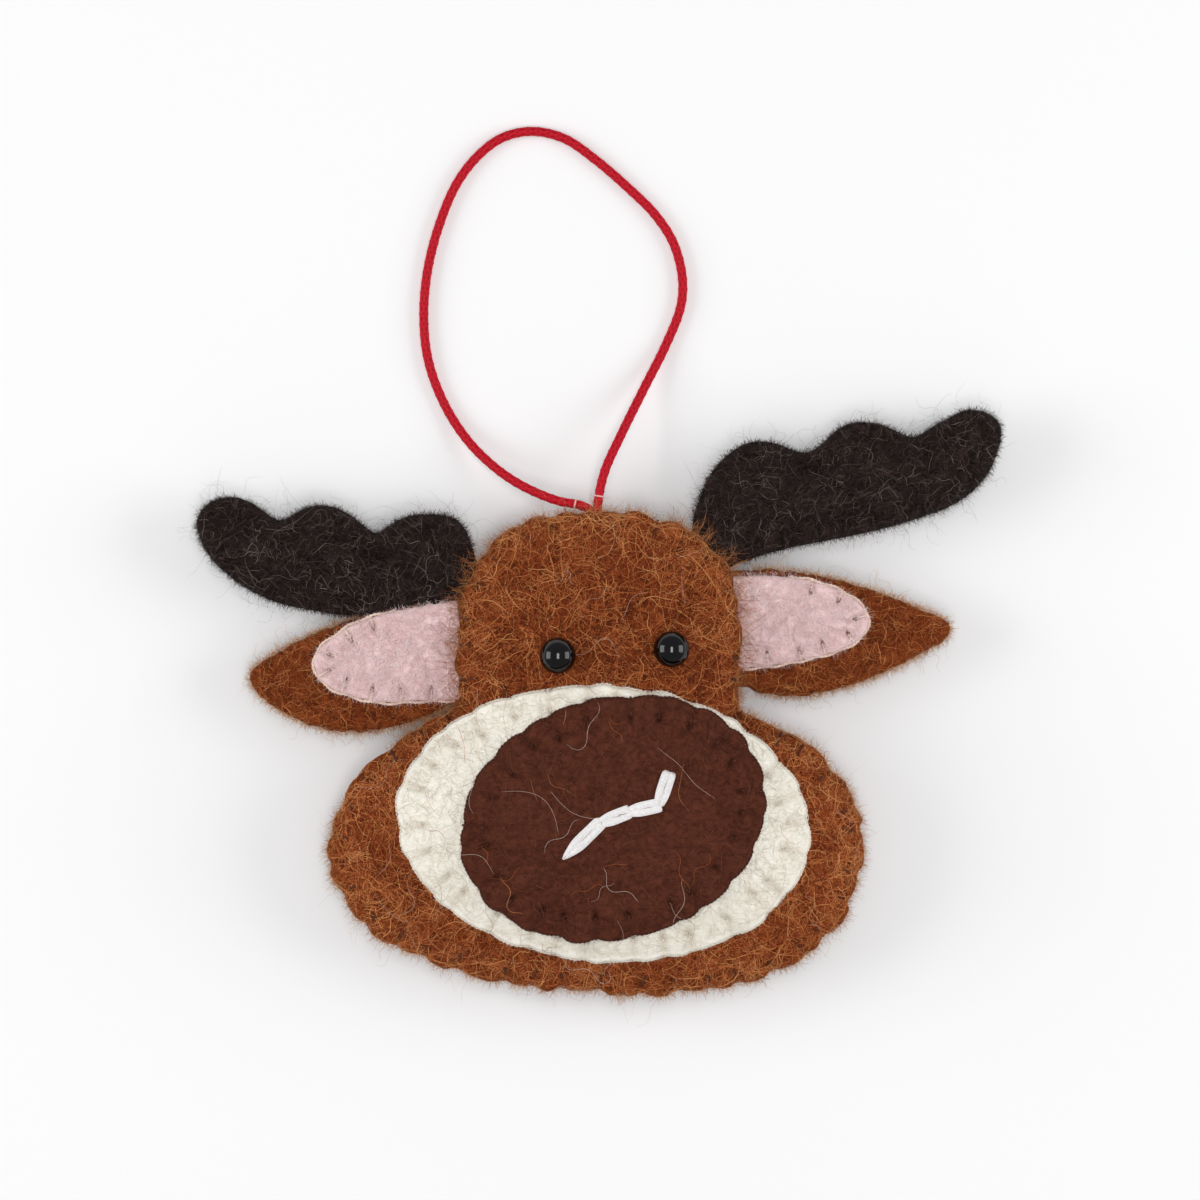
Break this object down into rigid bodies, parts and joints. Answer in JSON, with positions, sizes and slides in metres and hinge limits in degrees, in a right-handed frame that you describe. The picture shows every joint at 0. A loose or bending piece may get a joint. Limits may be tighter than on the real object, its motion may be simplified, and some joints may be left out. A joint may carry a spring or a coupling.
{
  "type": "felt animal head ornament",
  "caption": "Padded felt animal head ornament with sewn-on muzzle and nose, bead eyes, flexing ears and antlers, and a braided cord loop to hang it by.",
  "frame": {"origin": "on the table under the middle of the ornament's box, measured without the hanging cord", "axes": "the ornament lies on its back: +X to the viewer's right along the antlers, +Y towards the hanger, +Z out of the face"},
  "size_m": [0.1024, 0.109, 0.021],
  "materials": {
    "brown_felt": "matte",
    "cream_felt": "matte",
    "cocoa_felt": "matte",
    "pink_felt": "matte",
    "charcoal_felt": "matte",
    "stuffing": "matte",
    "black_bead": "gloss",
    "white_thread": "matte",
    "red_cord": "matte",
    "brown_thread": "matte",
    "cream_thread": "matte",
    "cocoa_thread": "matte",
    "charcoal_thread": "matte",
    "black_thread": "matte"
  },
  "bodies": {
    "head": {"head_front": "brown_felt", "head_back": "brown_felt", "head_filling": "stuffing", "head_seam_thread": "brown_thread", "muzzle_patch": "cream_felt", "muzzle_thread": "cream_thread", "nose_patch": "cocoa_felt", "nose_thread": "cocoa_thread", "chain_stitch": "white_thread", "eye_left": "black_bead", "eye_left_thread": "black_thread", "eye_right": "black_bead", "eye_right_thread": "black_thread", "hanger_knot": "red_cord"},
    "ear_left": {"ear_left_outer": "brown_felt", "ear_left_inner": "pink_felt", "ear_left_thread": "cream_thread"},
    "ear_right": {"ear_right_outer": "brown_felt", "ear_right_inner": "pink_felt", "ear_right_thread": "cream_thread"},
    "antler_left": {"antler_left_front": "charcoal_felt", "antler_left_back": "charcoal_felt", "antler_left_filling": "stuffing", "antler_left_thread": "charcoal_thread"},
    "antler_right": {"antler_right_front": "charcoal_felt", "antler_right_back": "charcoal_felt", "antler_right_filling": "stuffing", "antler_right_thread": "charcoal_thread"},
    "hanger": {"hanger_cord": "red_cord"}
  },
  "joints": [
    {"name": "ear_left_flex", "type": "hinge", "parent": "head", "child": "ear_left", "pos_m": [-0.01881, 0.00542, 0.0065], "axis": [-0.0529, 0.9986, 0], "range_deg": [-35, 20], "stiffness_Nm_per_rad": 0.004},
    {"name": "ear_right_flex", "type": "hinge", "parent": "head", "child": "ear_right", "pos_m": [0.0182, 0.00895, 0.0065], "axis": [0.0292, -0.9996, 0], "range_deg": [-35, 20], "stiffness_Nm_per_rad": 0.004},
    {"name": "antler_left_flex", "type": "hinge", "parent": "head", "child": "antler_left", "pos_m": [-0.0171, 0.01639, 0.0065], "axis": [0.4528, 0.8916, 0], "range_deg": [-20, 20], "stiffness_Nm_per_rad": 0.008},
    {"name": "antler_right_flex", "type": "hinge", "parent": "head", "child": "antler_right", "pos_m": [0.01375, 0.02004, 0.0065], "axis": [0.7403, -0.6723, 0], "range_deg": [-20, 20], "stiffness_Nm_per_rad": 0.008},
    {"name": "hanger_swing", "type": "hinge", "parent": "head", "child": "hanger", "pos_m": [-0.00103, 0.02469, 0.0065], "axis": [1, 0, 0], "range_deg": [-45, 90]}
  ]
}
